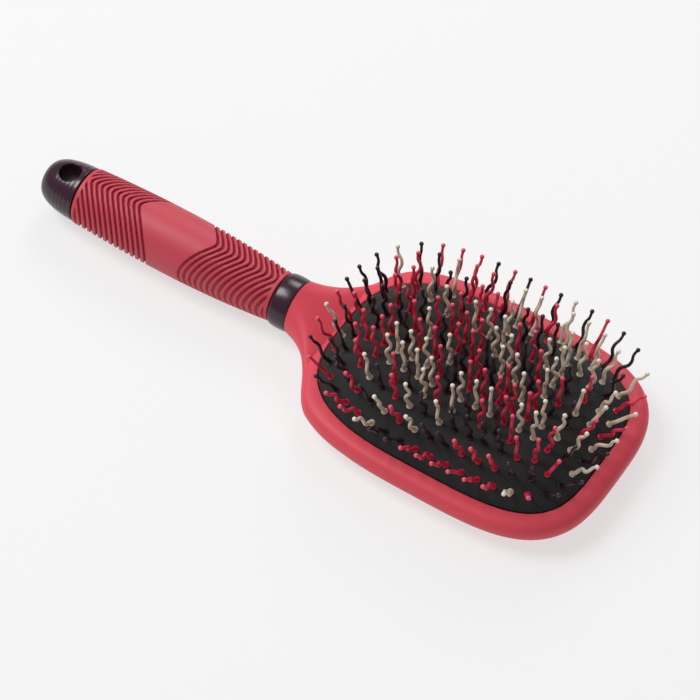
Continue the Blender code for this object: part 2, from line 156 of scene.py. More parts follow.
# Pins, in three loops that follow the opening and in straight rows inside the loops. Each loop is split into
# groups, one for each CAD node.
LOOP_NAMES = ("Edge", "Shoulder", "Middle_Loop")
LOOP_BODIES = ("edge_pins", "shoulder_pins", "middle_pins")
LOOP_INSETS = (0.0045, 0.0092, 0.015)
LOOP_LEANS = (math.radians(37), math.radians(21), math.radians(9))
LOOP_GROUPS = (8, 8, 6)
HANDLE_END_LEAN = 0.65
ROW_INSET = 0.0206
ROW_PITCH = 0.0057
ROWS_EACH_SIDE = 3
COLUMN_PITCH = 0.006
HALF_COLUMN = 0.5
NEAR_ROW = COLUMN_PITCH / 10
ROW_LEAN = math.radians(5)
PIN_LENGTH = 0.0173
PIN_WAVE = 0.001
PIN_TURN = math.radians(137.5)
BALL_RADIUS = 0.00086
BALL_TOP = 0.94 * math.pi

# The shape of a pin, from below its foot to its ball: (share of its length, radius).
PIN_FOOT = ((-0.05, 0.0009), (-0.012, 0.0012), (0.004, 0.00128), (0.014, 0.00118), (0.03, 0.0009))
PIN_SHAFT = ((0.06, 0.00076), (0.4, 0.00069), (0.7, 0.0006), (0.85, 0.00053))

# The wave of a pin: (share of its length, how far it has bent to one side, in amplitudes of the wave).
PIN_BENDS = (
    (0.0, 0.0),
    (0.1, 0.0),
    (0.29, 1.0),
    (0.35, 1.0),
    (0.57, -0.8),
    (0.63, -0.8),
    (0.82, 0.25),
    (0.87, 0.25),
    (0.97, 0.1),
)
BEND_STEP = 0.01
ALONG_ATTRIBUTE = "Along"
BALL_SHARE = 0.93

# Colours of the pins, one letter each: R pink-red, B beige, K near-black. A loop starts at the handle end and
# runs by the +Y side to the far end and back. A row starts at the handle end, and the first row is the one
# nearest -Y.
LOOP_COLOURS = (
    "RKKKBKRRRKRKRKBKRKKBRBRBKBKKRBRRRRRRKKBRRKRKRB",
    "RKKRRKBRRKBBRBBBBKBBRBKRKKRRRKKBRBKRKKKK",
    "KKRRBKKRRBKKKBBBRBKBRRRKKKKBKBRKBRRR",
)
ROW_COLOURS = (
    "RKBRBKRKR",
    "RBBBBKBBBRBB",
    "RBBBRKRRRRRB",
    "RKRRBKRKRBRK",
    "KRBKRRKBBKBR",
    "RKRRRRBBKRBK",
    "BRBBBRRBB",
)
PIN_COLOURS = {"R": ("Pink", "pink_nylon"), "B": ("Beige", "beige_nylon"), "K": ("Black", "black_nylon")}

# How finely the shapes are drawn.
OUTLINE_SAMPLES = 1440
LIP_POINTS = 240
NECK_COLUMNS = 25
UPPER_STEPS = 16
LOWER_STEPS = 12
ROUND_STEPS = 5
TURN_SEGMENTS = 96
RING_STEPS = 24
GRIP_ROWS = 320
GRIP_COLUMNS = 192
CUSHION_RINGS = 56
CAP_RAYS = 64
CAP_RINGS = 72
PIN_SIDES = 12
PIN_RINGS = 22
BALL_RINGS = 7
SHARP_ANGLE = math.radians(35)
SMALLEST_DISTANCE = 1e-6
OUTLINE_PRECISION = SMALLEST_DISTANCE / 10

# Colours, linear. A nylon has three: at the foot, at the tip and in the ball.
CORAL = (0.66, 0.062, 0.092)
CORAL_PALE = (0.71, 0.07, 0.102)
RED_RIB = (0.53, 0.055, 0.082)
# Painted shade: the grip's colour down in its grooves, darker where less light reaches.
RED_GROOVE_PAINTED_SHADE = (0.24, 0.002, 0.014)
PLUM = (0.03, 0.007, 0.017)
PLUM_PALE = (0.036, 0.01, 0.021)
CLOTH = (0.004, 0.004, 0.004)
CLOTH_PALE = (0.07, 0.07, 0.07)
PAPER = (0.27, 0.27, 0.27)
WHITE = (1, 1, 1)
NYLONS = {
    "R": ("Pink_Nylon", (0.48, 0.01, 0.04), (0.66, 0.035, 0.085), (0.8, 0.08, 0.14)),
    "B": ("Beige_Nylon", (0.58, 0.48, 0.37), (0.7, 0.6, 0.48), (0.8, 0.73, 0.63)),
    "K": ("Black_Nylon", (0.014, 0.004, 0.009), (0.018, 0.006, 0.012), (0.02, 0.008, 0.014)),
}

# Finish of each material: the size of its grain in metres, the grain's detail, the least and the most
# roughness, the strength of its reflections, and the depth of its relief in metres.
CORAL_FINISH = (0.0005, 3, 0.42, 0.52, 0.25, 0.0000025)
GRIP_FINISH = (0.0004, 4, 0.42, 0.56, 0.35, 0.000006)
PLUM_FINISH = (0.008, 3, 0.2, 0.28, 0.45, 0.000004)
NYLON_FINISH = (0.0015, 2, 0.3, 0.43, 0.5, 0.000006)
CLOUD_SIZE = 0.03
CLOUD_DETAIL = 2
CLOTH_ROUGHNESS = 0.8
CLOTH_REFLECTION = 0.3
CLOTH_SHEEN = 0.04
CLOTH_SHEEN_ROUGHNESS = 0.5
CLOTH_RELIEF = 0.000084
PAPER_ROUGHNESS = 0.9
PAPER_REFLECTION = 0.1

# Blender's band waves repeat at this step of their scaled coordinate.
WAVE_PERIOD = math.pi / 10

# Lights: (azimuth and elevation in degrees, distance, size, power).
SKY_STRENGTH = 0.33
LIGHTS = {
    "Overhead_Softbox": (285, 58, 2.0, 0.9, 27),
    "Back_Softbox": (195, 40, 1.5, 0.6, 7),
}
PAPER_GLOW = 0.63
FLOOR_HALF = 3.0

# Camera, looking at the middle of the brush.
CAMERA_AZIMUTH = math.radians(33.5)
CAMERA_ELEVATION = math.radians(54.55)
CAMERA_DISTANCE = 1.429
CAMERA_LENS = 201
CAMERA_SENSOR = 36
CAMERA_ROLL = math.radians(-0.53)
CAMERA_AIM = Vector((0.0101, 0.0006, 0.0012))


def ease(share):
    """A share that starts and ends gently."""
    return share * share * (3 - 2 * share)


def add_piece(name, vertices, faces, material, body, slot, *nodes):
    """A smooth-shaded piece that stands for CAD nodes and rides on a body, unless body is None."""
    mesh = bpy.data.meshes.new(name)
    mesh.from_pydata([tuple(vertex) for vertex in vertices], [], faces)
    shape = bmesh.new()
    shape.from_mesh(mesh)
    bmesh.ops.remove_doubles(shape, verts=shape.verts, dist=SMALLEST_DISTANCE)
    bmesh.ops.recalc_face_normals(shape, faces=shape.faces)
    shape.to_mesh(mesh)
    shape.free()
    mesh.materials.append(material)
    mesh.shade_smooth()
    mesh.set_sharp_from_angle(angle=SHARP_ANGLE)
    piece = bpy.data.objects.new(name, mesh)
    bpy.context.scene.collection.objects.link(piece)
    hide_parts(*nodes)
    if body:
        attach(piece, body)
    return piece


def band_faces(first, second, count):
    """Quads that join two closed loops of vertices, given the index of each loop's first vertex."""
    faces = []
    for i in range(count):
        following = (i + 1) % count
        faces.append((first + i, first + following, second + following, second + i))
    return faces


def joined_rings(rings, count, closed):
    """Faces that join rings of vertices stored one after another, and the last to the first if closed."""
    faces = []
    for i in range(rings if closed else rings - 1):
        faces += band_faces(i * count, (i + 1) % rings * count, count)
    return faces


def capped_rings(rings, count):
    """Faces that join rings of vertices into a closed body, with the first and the last ring filled."""
    last = (rings - 1) * count
    faces = joined_rings(rings, count, False)
    faces.append(tuple(range(count)))
    faces.append(tuple(range(last, last + count)))
    return faces


# ---------------------------------------------------------------- the opening and the dome


def edge_exponent(x):
    """How square the opening is: at its far end where x is over 0, and at its handle end elsewhere."""
    return FAR_END_EXPONENT if x > 0 else HANDLE_END_EXPONENT


def opening_loop(count, inset):
    """count points evenly round the opening's edge moved in by inset, and the outward directions there.

    The first is at the handle end. The loop runs by the +Y side to the far end and back by the -Y side."""
    points = []
    normals = []
    for angle in np.linspace(math.pi, -math.pi, OUTLINE_SAMPLES + 1):
        across, up = math.cos(angle), math.sin(angle)
        power = edge_exponent(across)
        x = math.copysign(abs(across) ** (2 / power), across)
        y = math.copysign(abs(up) ** (2 / power), up)
        slope_x = math.copysign(abs(x) ** (power - 1), x) / OPENING_HALF_LENGTH
        slope_y = math.copysign(abs(y) ** (power - 1), y) / OPENING_HALF_WIDTH
        normal = np.array((slope_x, slope_y)) / math.hypot(slope_x, slope_y)
        edge = np.array((OPENING_X + OPENING_HALF_LENGTH * x, OPENING_HALF_WIDTH * y))
        points.append(edge - inset * normal)
        normals.append(normal)
    points = np.array(points)
    normals = np.array(normals)
    steps = np.linalg.norm(np.diff(points, axis=0), axis=1)
    along = np.concatenate([[0], np.cumsum(steps)])
    wanted = along[-1] * np.arange(count) / count
    spaced = np.stack([np.interp(wanted, along, points[:, i]) for i in range(2)], axis=1)
    outward = np.stack([np.interp(wanted, along, normals[:, i]) for i in range(2)], axis=1)
    return spaced, outward / np.linalg.norm(outward, axis=1, keepdims=True)


def distance_inside(x, y):
    """How far a point of the cushion is from the opening's edge, measured away from the cushion's middle."""
    across = abs(x - OPENING_X) / OPENING_HALF_LENGTH
    up = abs(y) / OPENING_HALF_WIDTH
    power = edge_exponent(x - OPENING_X)
    share = max((across**power + up**power) ** (1 / power), SMALLEST_DISTANCE)
    return math.hypot(x - OPENING_X, y) * (1 / share - 1) if share > FLAT_MIDDLE else DOME_SHOULDER


def dome_top(x, y):
    """The height of the cushion's face, without its dimples."""
    left = max(1 - distance_inside(x, y) / DOME_SHOULDER, 0)
    return DOME_EDGE_Z + DOME_HEIGHT * (1 - left**DOME_POWER)


def dome_underside(x, y):
    """The height of the cushion's underside, one thickness in from its face."""
    left = max(1 - distance_inside(x, y) / DOME_SHOULDER, 0)
    slope = DOME_HEIGHT * DOME_POWER / DOME_SHOULDER * left ** (DOME_POWER - 1)
    return dome_top(x, y) - CUSHION_THICKNESS * math.hypot(1, slope)


# ---------------------------------------------------------------- the head


def flare_point(share, start, end, end_direction):
    """A point on the smooth curve that widens the neck into the head."""
    controls = (
        start,
        start + NECK_HANDLE * np.array((math.cos(NECK_SPREAD), math.sin(NECK_SPREAD))),
        end - RIM_HANDLE * end_direction,
        end,
    )
    weights = ((1 - share) ** 3, 3 * share * (1 - share) ** 2, 3 * share**2 * (1 - share), share**3)
    return sum(weight * control for weight, control in zip(weights, controls))


def frame_columns():
    """The columns that the frame's skin is stretched over, from the neck round one side to the far end.

    Each is (outer edge, upper end, lower end, heights of the three, squareness of the section)."""
    half = LIP_POINTS // 2 + 1
    lip, outward = opening_loop(LIP_POINTS, 0.0)
    lip_top = opening_loop(LIP_POINTS, -LIP_ROUND)[0]
    stations = (0, LIP_POINTS * RIM_SETTLED, LIP_POINTS / 2)
    widths = np.interp(range(half), stations, (HANDLE_RIM_WIDTH, RIM_WIDTH, END_RIM_WIDTH))
    rim = [lip[i] + widths[i] * outward[i] for i in range(half)]
    last_flare = int(np.argmax(lip[:, 0] > LAST_FLARE_X))
    flare_end = np.array((outward[last_flare][1], -outward[last_flare][0]))
    neck_edge = np.array((NECK_X, NECK_RADIUS))
    neck_middle = np.array((NECK_X, 0.0))
    columns = []
    for i in range(NECK_COLUMNS + half):
        station = max(i - NECK_COLUMNS, 0)
        reached = min(i / NECK_COLUMNS, 1)
        settled = ease(reached)
        widened = np.interp(i, (0, NECK_COLUMNS, NECK_COLUMNS + last_flare), (0, WIDENED_AT_LIP, 1))
        edge = flare_point(widened, neck_edge, rim[last_flare], flare_end) if widened < 1 else rim[station]
        back_edge = lip[station] - BACK_INSET * outward[station]
        upper = neck_middle + reached * (lip_top[station] - neck_middle)
        lower = neck_middle + reached * (back_edge - neck_middle)
        top = AXIS_Z + NECK_RADIUS + reached * (LIP_Z - AXIS_Z - NECK_RADIUS)
        middle = AXIS_Z + ease(widened) * (RIM_EQUATOR_Z - AXIS_Z)
        bottom = (AXIS_Z - NECK_RADIUS) * (1 - settled)
        squareness = ELLIPSE + settled * (HEAD_SQUARENESS - ELLIPSE)
        columns.append((edge, upper, lower, top, middle, bottom, squareness))
    return columns


def column_points(column, side):
    """One column's vertices, from its lower end up round the outer edge to its upper end."""
    edge, upper, lower, top, middle, bottom, squareness = column
    points = []
    for step in range(-LOWER_STEPS, UPPER_STEPS + 1):
        steps = LOWER_STEPS if step < 0 else UPPER_STEPS
        angle = abs(step) / steps * math.pi / 2
        power = 1 if step < 0 else ELLIPSE / squareness
        inward = 1 - max(math.cos(angle), 0) ** power if abs(step) < steps else 1
        rise = math.sin(angle) ** power
        target, height = (lower, bottom) if step < 0 else (upper, top)
        place = edge + (target - edge) * inward
        points.append((place[0], side * place[1], middle + (height - middle) * rise))
    return points


def pocket_profile():
    """The wall of the cushion's pocket, from the rounded lip to the chamber's floor: (inset, height)."""
    profile = []
    for step in range(ROUND_STEPS + 1):
        angle = math.pi / 2 * step / ROUND_STEPS
        profile.append((LIP_ROUND * (math.sin(angle) - 1), LIP_Z - LIP_ROUND * (1 - math.cos(angle))))
    groove_top = LIP_Z - LIP_THICKNESS
    profile.append((0.0, groove_top))
    profile.append((-GROOVE_DEPTH, groove_top))
    profile.append((-GROOVE_DEPTH, groove_top - GROOVE_HEIGHT))
    profile.append((LEDGE_INSET, groove_top - GROOVE_HEIGHT))
    profile.append((LEDGE_INSET, CHAMBER_FLOOR_Z))
    return profile


def skin(columns):
    """The outside of the head and the neck, and the flat back: vertices and faces."""
    levels = UPPER_STEPS + LOWER_STEPS + 1
    loop = [(column, 1) for column in columns] + [(column, -1) for column in reversed(columns[:-1])]
    vertices = [point for column, side in loop for point in column_points(column, side)]
    faces = []
    for i in range(len(loop) - 1):
        for level in range(levels - 1):
            low = i * levels + level
            faces.append((low, low + levels, low + levels + 1, low + 1))
    head_loop = range(NECK_COLUMNS, len(loop) - NECK_COLUMNS - 1)
    faces.append(tuple(i * levels for i in head_loop))
    return vertices, faces


def pocket(first):
    """The pocket for the cushion, with its floor: vertices, and faces whose indices start at first."""
    vertices = []
    faces = []
    profile = pocket_profile()
    for inset, height in profile:
        vertices += [(x, y, height) for x, y in opening_loop(LIP_POINTS, inset)[0]]
    for i in range(len(profile) - 1):
        faces += band_faces(first + i * LIP_POINTS, first + (i + 1) * LIP_POINTS, LIP_POINTS)
    floor = first + (len(profile) - 1) * LIP_POINTS
    faces.append(tuple(range(floor, floor + LIP_POINTS)))
    return vertices, faces


def tang(first, neck_column):
    """The neck's end face and the tang inside the handle, as pocket gives its own."""
    neck = column_points(neck_column, 1) + column_points(neck_column, -1)[-2:0:-1]
    count = len(neck)
    vertices = list(neck)
    shrink = TANG_RADIUS / NECK_RADIUS
    for x in (NECK_X, TANG_END_X):
        vertices += [(x, y * shrink, AXIS_Z + (z - AXIS_Z) * shrink) for _, y, z in neck]
    faces = band_faces(first, first + count, count) + band_faces(first + count, first + 2 * count, count)
    faces.append(tuple(range(first + 2 * count, first + 3 * count)))
    return vertices, faces


def head(material):
    """The head, the neck and the tang inside the handle, moulded in one, with the pocket for the cushion."""
    columns = frame_columns()
    vertices, faces = skin(columns)
    more_vertices, more_faces = pocket(len(vertices))
    vertices += more_vertices
    faces += more_faces
    more_vertices, more_faces = tang(len(vertices), columns[0])
    vertices += more_vertices
    faces += more_faces
    add_piece("Head_And_Neck", vertices, faces, material, "handle_and_head", "coral_plastic", "Head_Frame")


# ---------------------------------------------------------------- the handle


def edge_round(from_end, radius):
    """How far a rounded edge draws a surface in, at a distance from its end."""
    if from_end >= radius:
        return 0.0
    return radius - math.sqrt(max(radius**2 - (radius - from_end) ** 2, 0.0))


def grip_radius(share):
    """The grip's radius over its ribs, from 0 at the ring to 1 at the cap."""
    if share < GRIP_THICKEST:
        fall = (GRIP_RADIUS - GRIP_RING_RADIUS) * ((share - GRIP_THICKEST) / GRIP_THICKEST) ** 2
    else:
        fall = (GRIP_RADIUS - GRIP_CAP_RADIUS) * ((share - GRIP_THICKEST) / (1 - GRIP_THICKEST)) ** 2
    return GRIP_RADIUS - fall


def groove_share(x, y):
    """How deep the grip is cut at a place, from 0 on a rib's top to 1 at the bottom of a groove."""
    sideways = CHEVRON_SLOPE * (math.hypot(y, CHEVRON_ROUND) - CHEVRON_ROUND)
    past_window = max(WINDOW_CAP_X + sideways - x, x - WINDOW_RING_X + sideways)
    if past_window < 0:
        return 0.0
    wave = math.sin(math.tau * past_window / RIB_PITCH - GROOVE_PHASE)
    cut = ease(min(max((wave - GROOVE_START) / (1 - GROOVE_START) * GROOVE_STEEPNESS, 0), 1))
    from_end = min(x - grip_low.x, grip_high.x - x)
    return cut * ease(min(max((from_end - GRIP_BAND) / BAND_EDGE, 0), 1))


def turned_ring(x, radius, segments):
    """A circle of points round the handle's axis."""
    points = []
    for segment in range(segments):
        angle = math.tau * segment / segments
        points.append((x, radius * math.cos(angle), AXIS_Z + radius * math.sin(angle)))
    return points


def grip(material):
    """The rubber sleeve, its chevron ribs cut in as grooves on both sides of the plain window."""
    length = grip_high.x - grip_low.x
    vertices = []
    for row in range(GRIP_ROWS + 1):
        share = row / GRIP_ROWS
        x = grip_high.x - share * length
        over_ribs = grip_radius(share) - edge_round(min(share, 1 - share) * length, GRIP_EDGE_ROUND)
        for column in range(GRIP_COLUMNS):
            angle = math.tau * column / GRIP_COLUMNS
            radius = over_ribs - RIB_DEPTH * groove_share(x, over_ribs * math.cos(angle))
            vertices.append((x, radius * math.cos(angle), AXIS_Z + radius * math.sin(angle)))
    for x in (grip_low.x, grip_high.x):
        vertices += turned_ring(x, TANG_BORE, GRIP_COLUMNS)
    faces = joined_rings(len(vertices) // GRIP_COLUMNS, GRIP_COLUMNS, True)
    piece = add_piece(
        "Ribbed_Grip", vertices, faces, material, "handle_and_head", "grip_rubber", "Grip_Sleeve"
    )
    # Keep each point's groove depth for the painted shade in the grooves.
    depths = piece.data.attributes.new(GROOVE_SHADE_ATTRIBUTE, "FLOAT", "POINT")
    for vertex, depth in zip(piece.data.vertices, depths.data):
        depth.value = groove_share(vertex.co.x, vertex.co.y)


def ring(material):
    """The glossy band between the grip and the neck."""
    profile = []
    for step in range(RING_STEPS + 1):
        angle = math.pi * step / RING_STEPS
        bulge = (RING_RADIUS - RING_EDGE_RADIUS) * max(math.sin(angle), 0) ** RING_FULLNESS
        x = ring_low.x + (ring_high.x - ring_low.x) * (1 - math.cos(angle)) / 2
        profile.append((x, RING_EDGE_RADIUS + bulge))
    profile += [(ring_high.x, TANG_BORE), (ring_low.x, TANG_BORE)]
    vertices = []
    for x, radius in profile:
        vertices += turned_ring(x, radius, TURN_SEGMENTS)
    faces = joined_rings(len(profile), TURN_SEGMENTS, True)
    add_piece("Collar", vertices, faces, material, "handle_and_head", "plum_plastic", "Collar_Ring")


def cap_radius(x):
    """The cap's radius at a place along the handle, with its shallow grooves and its rounded mouth."""
    from_mouth = CAP_MOUTH_X - x
    share = min(from_mouth / (CAP_MOUTH_X - cap_low.x), 1)
    radius = CAP_RADIUS * max(1 - share**2, 0) ** CAP_POWER
    nearest = min(max(round(from_mouth / CAP_GROOVE_PITCH), 1), CAP_GROOVES)
    from_groove = (from_mouth - nearest * CAP_GROOVE_PITCH) / CAP_GROOVE_WIDTH
    groove = CAP_GROOVE_DEPTH * math.exp(-(from_groove**2))
    return max(radius - groove - edge_round(from_mouth, CAP_EDGE_ROUND), 0)


def in_cap_plan(x, y):
    """Whether a place is inside the cap's outline, seen from above."""
    return cap_low.x <= x <= CAP_MOUTH_X and abs(y) <= cap_radius(x)


def cap_reach(angle):
    """How far the cap's outline, seen from above, is from the hole's middle in a direction."""
    near, far = HOLE_RADIUS, 2 * CAP_RADIUS
    while far - near > OUTLINE_PRECISION:
        middle = (near + far) / 2
        if in_cap_plan(HOLE_X + middle * math.cos(angle), middle * math.sin(angle)):
            near = middle
        else:
            far = middle
    return near


def cap_ray(angle):
    """Points of the cap's upper side in one direction, from the foot of the hole's rounded edge to the
    outline: (x, y, height over the axis)."""
    reach = cap_reach(angle)
    start = HOLE_RADIUS + HOLE_ROUND
    points = []
    for step in range(ROUND_STEPS):
        turn = math.pi / 2 * step / ROUND_STEPS
        points.append((start - HOLE_ROUND * math.cos(turn), HOLE_ROUND * (1 - math.sin(turn))))
    for step in range(CAP_RINGS + 1):
        points.append((start + (reach - start) * (1 - (1 - step / CAP_RINGS) ** 2), 0.0))
    ray = []
    for distance, sunk in points:
        x = HOLE_X + distance * math.cos(angle)
        y = distance * math.sin(angle)
        height = math.sqrt(max(cap_radius(x) ** 2 - y**2, 0.0)) - sunk
        ray.append((x, y, height))
    return ray


def cap(material):
    """The rounded cap on the butt, with the hole that the brush hangs by, its edges rounded."""
    corner = math.atan2(cap_radius(CAP_MOUTH_X - CAP_EDGE_ROUND), CAP_MOUTH_X - HOLE_X)
    to_corner = list(np.linspace(0, corner, CAP_RAYS, endpoint=False))
    half = to_corner + list(np.linspace(corner, math.pi, 2 * CAP_RAYS))
    angles = half[:-1] + [math.tau - angle for angle in half[:0:-1]]
    rays = [cap_ray(angle) for angle in angles]
    upper = [[(x, y, AXIS_Z + height) for x, y, height in ring_points] for ring_points in zip(*rays)]
    lower = [[(x, y, AXIS_Z - height) for x, y, height in ring_points] for ring_points in zip(*rays)]
    rings = upper[::-1] + lower
    vertices = [point for ring_points in rings for point in ring_points]
    faces = joined_rings(len(rings), len(angles), True)
    add_piece("Hanging_Cap", vertices, faces, material, "handle_and_head", "plum_plastic", "End_Cap")


# ---------------------------------------------------------------- the pins


def loop_pins(inset, count, lean):
    """The pins of one loop: (place, direction out, lean)."""
    places, outward = opening_loop(count, inset)
    pins = []
    for place, out in zip(places, outward):
        near_handle = max(-out[0], 0)
        pins.append((place, out, lean * (1 - (1 - HANDLE_END_LEAN) * near_handle)))
    return pins


def row_pins(row):
    """The pins of one straight row inside the loops, as loop_pins gives them."""
    y = row * ROW_PITCH
    inner = opening_loop(OUTLINE_SAMPLES, ROW_INSET)[0]
    near_row = inner[np.abs(inner[:, 1] - y) < NEAR_ROW]
    first = math.ceil((near_row[:, 0].min() - OPENING_X) / COLUMN_PITCH - HALF_COLUMN)
    last = math.floor((near_row[:, 0].max() - OPENING_X) / COLUMN_PITCH - HALF_COLUMN)
    pins = []
    for column in range(first, last + 1):
        place = np.array((OPENING_X + (column + HALF_COLUMN) * COLUMN_PITCH, y))
        away = place - np.array((OPENING_X, 0.0))
        reach = np.linalg.norm(away) / OPENING_HALF_LENGTH
        pins.append((place, away / max(np.linalg.norm(away), SMALLEST_DISTANCE), ROW_LEAN * reach))
    return pins


def split(items, groups):
    """The items in a number of groups of nearly equal size, in order."""
    bounds = [round(i * len(items) / groups) for i in range(groups + 1)]
    return [items[start:end] for start, end in zip(bounds, bounds[1:])]


def numbered(part, first):
    """The pins of one CAD node, each with the number of its turn: [(pin, turn number, colour letter)]."""
    return [(pin, first + i, letter) for i, (pin, letter) in enumerate(part)]


def row_set(first):
    """The pins of the rows, as one set. The turn numbers start at first."""
    found = []
    nodes = []
    for row, letters in enumerate(ROW_COLOURS, -ROWS_EACH_SIDE):
        pins = list(zip(row_pins(row), letters))
        for side, part in zip(("Handle_Side", "Far_Side"), split(pins, 2)):
            found += numbered(part, first + len(nodes))
            nodes.append(f"Middle_Row_{row + ROWS_EACH_SIDE + 1}_{side}")
    return "Middle_Rows", "middle_pins", nodes, found


def pin_sets():
    """The pins of each loop, and of the rows together: (name, body, CAD nodes, numbered pins)."""
    sets = []
    number = 0
    for name, body, inset, lean, groups, letters in zip(
        LOOP_NAMES, LOOP_BODIES, LOOP_INSETS, LOOP_LEANS, LOOP_GROUPS, LOOP_COLOURS
    ):
        found = []
        nodes = []
        pins = list(zip(loop_pins(inset, len(letters), lean), letters))
        for part in split(pins, groups):
            found += numbered(part, number)
            nodes.append(f"{name}_Pins_{len(nodes) + 1}")
            number += 1
        sets.append((name, body, nodes, found))
    return sets + [row_set(number)]


def pin_bend(share):
    """How far a pin has bent to one side at a share of its length, in amplitudes of its wave."""
    for (start, low), (end, high) in zip(PIN_BENDS, PIN_BENDS[1:]):
        if start <= share < end:
            return low + (high - low) * ease((share - start) / (end - start))
    return PIN_BENDS[-1][1] if share > 0 else 0.0


def pin_profile():
    """(share of the length, radius) from below the foot to the top of the ball."""
    ball_middle = 1 - BALL_RADIUS / PIN_LENGTH
    neck_radius = PIN_SHAFT[-1][1]
    neck_turn = math.asin(neck_radius / BALL_RADIUS)
    neck_end = ball_middle - BALL_RADIUS * math.cos(neck_turn) / PIN_LENGTH
    shares, radii = zip(*PIN_SHAFT)
    profile = list(PIN_FOOT)
    for share in np.linspace(shares[0], neck_end, PIN_RINGS):
        profile.append((share, float(np.interp(share, shares, radii))))
    for step in range(1, BALL_RINGS + 1):
        turn = neck_turn + (BALL_TOP - neck_turn) * step / BALL_RINGS
        share = ball_middle - BALL_RADIUS * math.cos(turn) / PIN_LENGTH
        profile.append((share, BALL_RADIUS * math.sin(turn)))
    return profile


def pin_mesh(pin, turn, profile):
    """One pin's vertices, ring by ring."""
    place, out, lean = pin
    axis = np.array((out[0] * math.sin(lean), out[1] * math.sin(lean), math.cos(lean)))
    sideways = np.array((math.cos(turn * PIN_TURN), math.sin(turn * PIN_TURN), 0.0))
    sideways -= axis * (sideways @ axis)
    sideways /= np.linalg.norm(sideways)
    flat = np.cross(axis, sideways)
    foot = np.array((place[0], place[1], dome_top(*place)))
    angles = math.tau * np.arange(PIN_SIDES) / PIN_SIDES
    vertices = []
    for share, radius in profile:
        bending = (pin_bend(share + BEND_STEP) - pin_bend(share - BEND_STEP)) / (2 * BEND_STEP)
        along = axis + bending * PIN_WAVE / PIN_LENGTH * sideways
        along /= np.linalg.norm(along)
        across = np.cross(flat, along)
        centre = foot + share * PIN_LENGTH * axis + pin_bend(share) * PIN_WAVE * sideways
        for angle in angles:
            vertices.append(centre + radius * (math.cos(angle) * across + math.sin(angle) * flat))
    return vertices


def pins(materials):
    """Every pin, as one piece for each colour in each loop and in the rows."""
    profile = pin_profile()
    one_pin = capped_rings(len(profile), PIN_SIDES)
    for name, body, nodes, found in pin_sets():
        for letter, (colour, slot) in PIN_COLOURS.items():
            vertices = []
            faces = []
            for pin, turn, own in found:
                if own == letter:
                    first = len(vertices)
                    vertices += pin_mesh(pin, turn, profile)
                    faces += [tuple(first + i for i in face) for face in one_pin]
            piece = add_piece(f"{name}_Pins_{colour}", vertices, faces, materials[letter], body, slot, *nodes)
            along = piece.data.attributes.new(ALONG_ATTRIBUTE, "FLOAT", "POINT")
            for index, value in enumerate(along.data):
                value.value = profile[index // PIN_SIDES % len(profile)][0]


# ---------------------------------------------------------------- the cushion


def dimple(x, y, places):
    """How far the cushion is drawn in round the nearest pin."""
    nearest = np.min(np.hypot(places[:, 0] - x, places[:, 1] - y))
    return DIMPLE_DEPTH * math.exp(-((nearest / DIMPLE_RADIUS) ** 2))


def cushion_rings():
    """The cushion's surface, ring by ring: out over its face, round the flange and in along its underside."""
    places = np.array([pin[0] for _, _, _, found in pin_sets() for pin, _, _ in found])
    outer = opening_loop(LIP_POINTS, CUSHION_CLEARANCE)[0]
    inner = opening_loop(LIP_POINTS, CUSHION_CLEARANCE + CUSHION_THICKNESS)[0]
    middle = np.array((OPENING_X, 0.0))
    flange_top = LIP_Z - LIP_THICKNESS - CUSHION_CLEARANCE
    flange_bottom = LIP_Z - LIP_THICKNESS - GROOVE_HEIGHT + CUSHION_CLEARANCE
    flange = ((CUSHION_CLEARANCE, flange_top), (-FLANGE_DEPTH, flange_top), (-FLANGE_DEPTH, flange_bottom))
    shares = [(step + 1) / CUSHION_RINGS for step in range(CUSHION_RINGS)]
    rings = []
    for share in shares:
        face = middle + share * (outer - middle)
        rings.append([(x, y, dome_top(x, y) - dimple(x, y, places)) for x, y in face])
    for inset, height in flange:
        rings.append([(x, y, height) for x, y in opening_loop(LIP_POINTS, inset)[0]])
    rings.append([(x, y, flange_bottom) for x, y in inner])
    for share in reversed(shares):
        underside = middle + share * (inner - middle)
        rings.append([(x, y, dome_underside(x, y)) for x, y in underside])
    return rings


def cushion(material):
    """The woven-faced rubber cushion, domed over the air chamber, with its flange in the groove."""
    rings = cushion_rings()
    vertices = [point for ring_points in rings for point in ring_points]
    faces = capped_rings(len(rings), LIP_POINTS)
    piece = add_piece("Air_Cushion", vertices, faces, material, None, "cushion_rubber", "Cushion_Membrane")
    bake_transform(piece)


# ---------------------------------------------------------------- materials


def new_material(name, colour):
    """A Principled material, with its nodes, its links, its shader and a texture coordinate in metres."""
    material = bpy.data.materials.new(name)
    material.use_nodes = True
    nodes = material.node_tree.nodes
    shader = nodes["Principled BSDF"]
    shader.inputs["Base Color"].default_value = (*colour, 1)
    place = nodes.new("ShaderNodeTexCoord").outputs["Object"]
    return material, nodes, material.node_tree.links, shader, place


def noise(nodes, links, place, grain, detail):
    """A noise texture whose grain is a size in metres."""
    texture = nodes.new("ShaderNodeTexNoise")
    texture.inputs["Scale"].default_value = 1 / grain
    texture.inputs["Detail"].default_value = detail
    links.new(place, texture.inputs["Vector"])
    return texture.outputs["Fac"]


def attribute(nodes, name):
    """A value stored at each point of the mesh."""
    stored = nodes.new("ShaderNodeAttribute")
    stored.attribute_name = name
    return stored.outputs["Fac"]


def mixed(nodes, links, share, low, high):
    """A colour between two, by a share. The low one may be a colour that another mix gives."""
    mix = nodes.new("ShaderNodeMix")
    mix.data_type = "RGBA"
    if isinstance(low, tuple):
        mix.inputs["A"].default_value = (*low, 1)
    else:
        links.new(low, mix.inputs["A"])
    mix.inputs["B"].default_value = (*high, 1)
    links.new(share, mix.inputs["Factor"])
    return mix.outputs["Result"]


